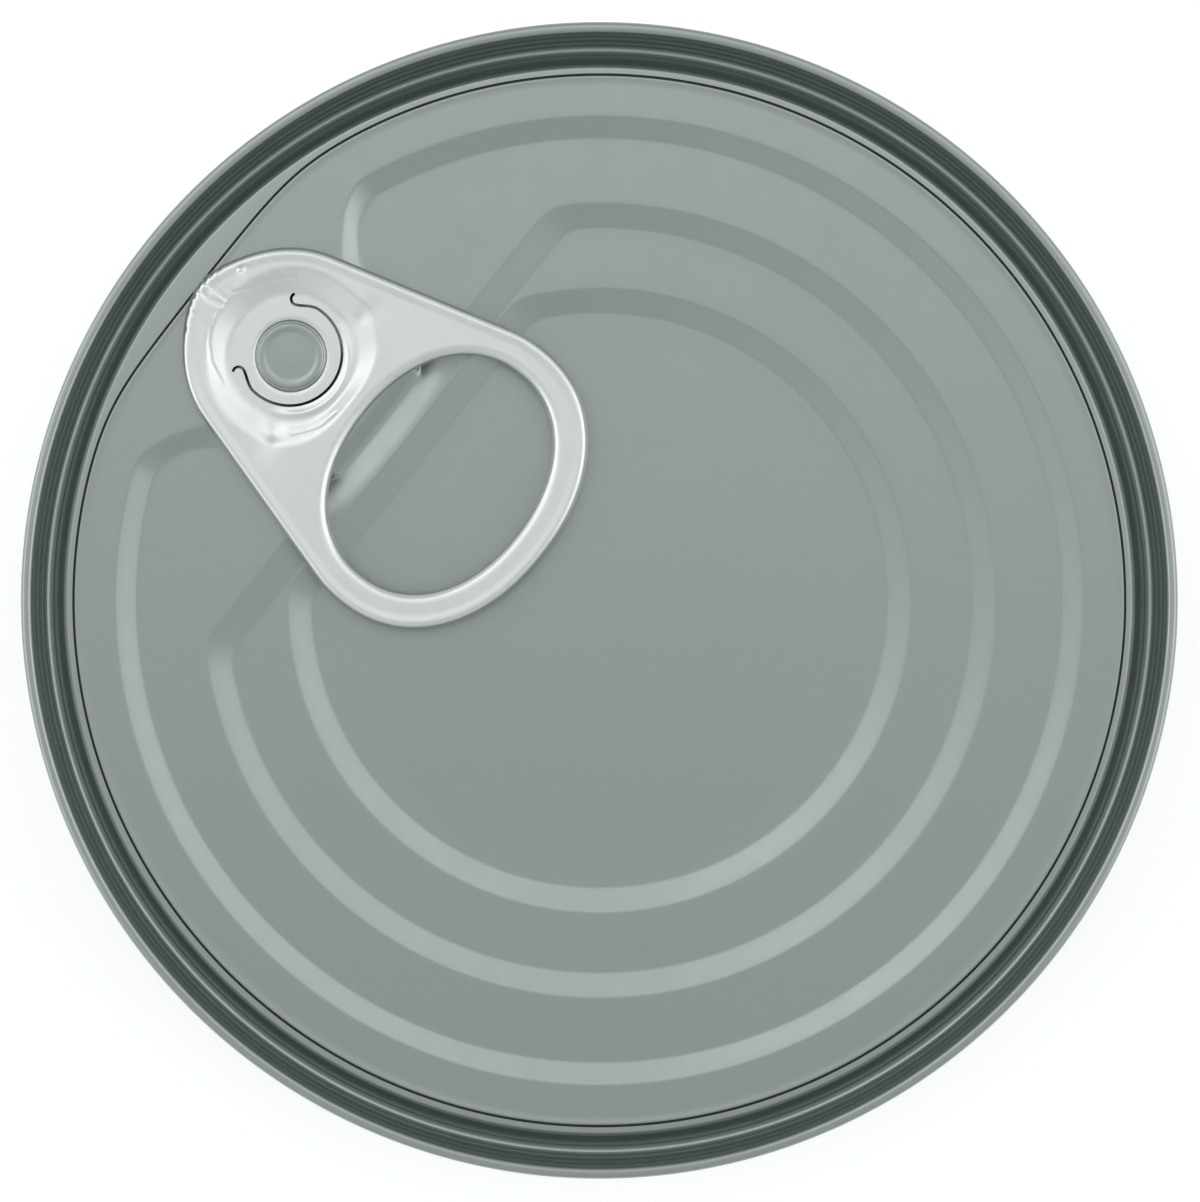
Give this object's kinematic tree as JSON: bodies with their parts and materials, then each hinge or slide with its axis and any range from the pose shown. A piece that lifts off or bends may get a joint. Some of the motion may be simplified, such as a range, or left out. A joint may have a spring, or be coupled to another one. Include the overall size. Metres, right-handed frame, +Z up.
{
  "type": "tuna can",
  "caption": "Shut round drawn food can with a double seam, a stepped full-opening end and a riveted ring-pull tab.",
  "frame": {"origin": "centre of the base, on the surface the can stands on", "axes": "+Z up out of the end; +Y towards the pull tab's nose; the finger ring lies between the nose and the middle of the end"},
  "size_m": [0.0873, 0.0872, 0.0365],
  "materials": {
    "lacquered_body": "satin",
    "lacquered_end": "satin",
    "tab_aluminium": "satin"
  },
  "bodies": {
    "root": {"can_body": "lacquered_body", "can_end": "lacquered_end", "pull_tab": "tab_aluminium"}
  },
  "joints": []
}
